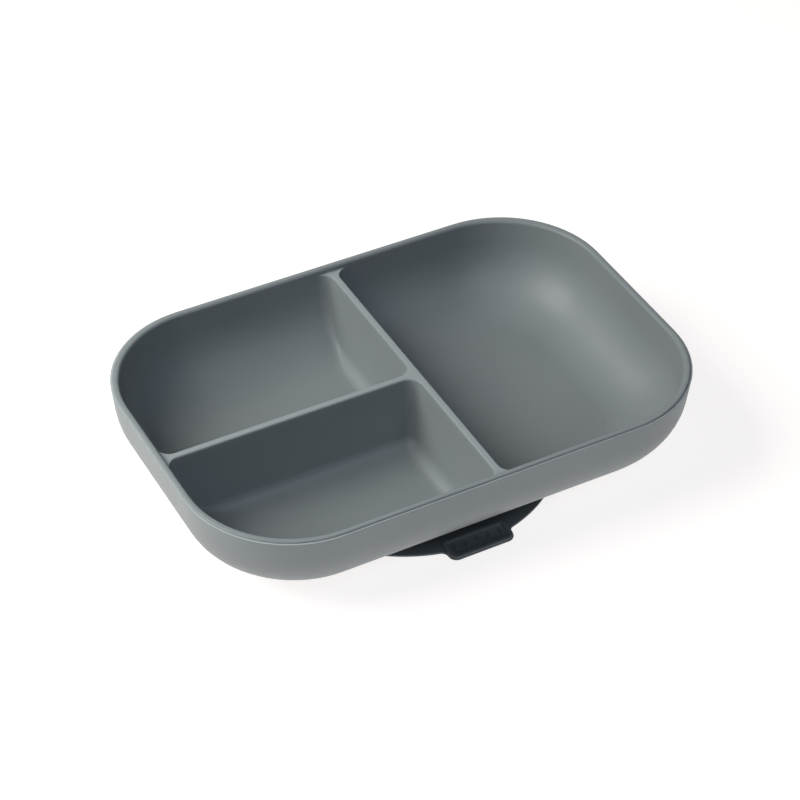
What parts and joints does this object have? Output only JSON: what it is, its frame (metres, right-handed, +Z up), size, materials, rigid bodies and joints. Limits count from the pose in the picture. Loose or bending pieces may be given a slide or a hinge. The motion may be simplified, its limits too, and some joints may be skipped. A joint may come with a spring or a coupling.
{
  "type": "divided suction plate",
  "caption": "Shallow rounded-rectangle silicone feeding tray with dividers, plugged onto a round silicone suction base with a pull tab.",
  "frame": {"origin": "on the table under the middle of the tray", "axes": "+Z up, +X along the tray's long side towards the large compartment, the pull tab is towards -Y"},
  "size_m": [0.25, 0.17, 0.0486],
  "materials": {
    "tray_silicone": "satin mid grey silicone",
    "base_silicone": "satin near-black silicone"
  },
  "bodies": {
    "lip": {"suction_lip": "base_silicone", "suction_membrane": "base_silicone"},
    "hub": {"suction_hub": "base_silicone"},
    "tray": {"tray": "tray_silicone"},
    "tab": {"pull_tab": "base_silicone"}
  },
  "joints": [
    {"name": "suction_press", "type": "slide", "parent": "lip", "child": "hub", "axis": [0, 0, -1], "range_m": [0, 0.0012], "stiffness_N_per_m": 1500, "springref_m": -0.003, "deforming": ["suction_membrane"]},
    {"name": "tray_lift_off", "type": "slide", "parent": "hub", "child": "tray", "axis": [0, 0, 1], "range_m": [0, 0.03]},
    {"name": "tab_pull", "type": "hinge", "parent": "lip", "child": "tab", "pos_m": [0, -0.064, 0.0021], "axis": [-1, 0, 0], "range_deg": [0, 35], "stiffness_Nm_per_rad": 0.02}
  ]
}
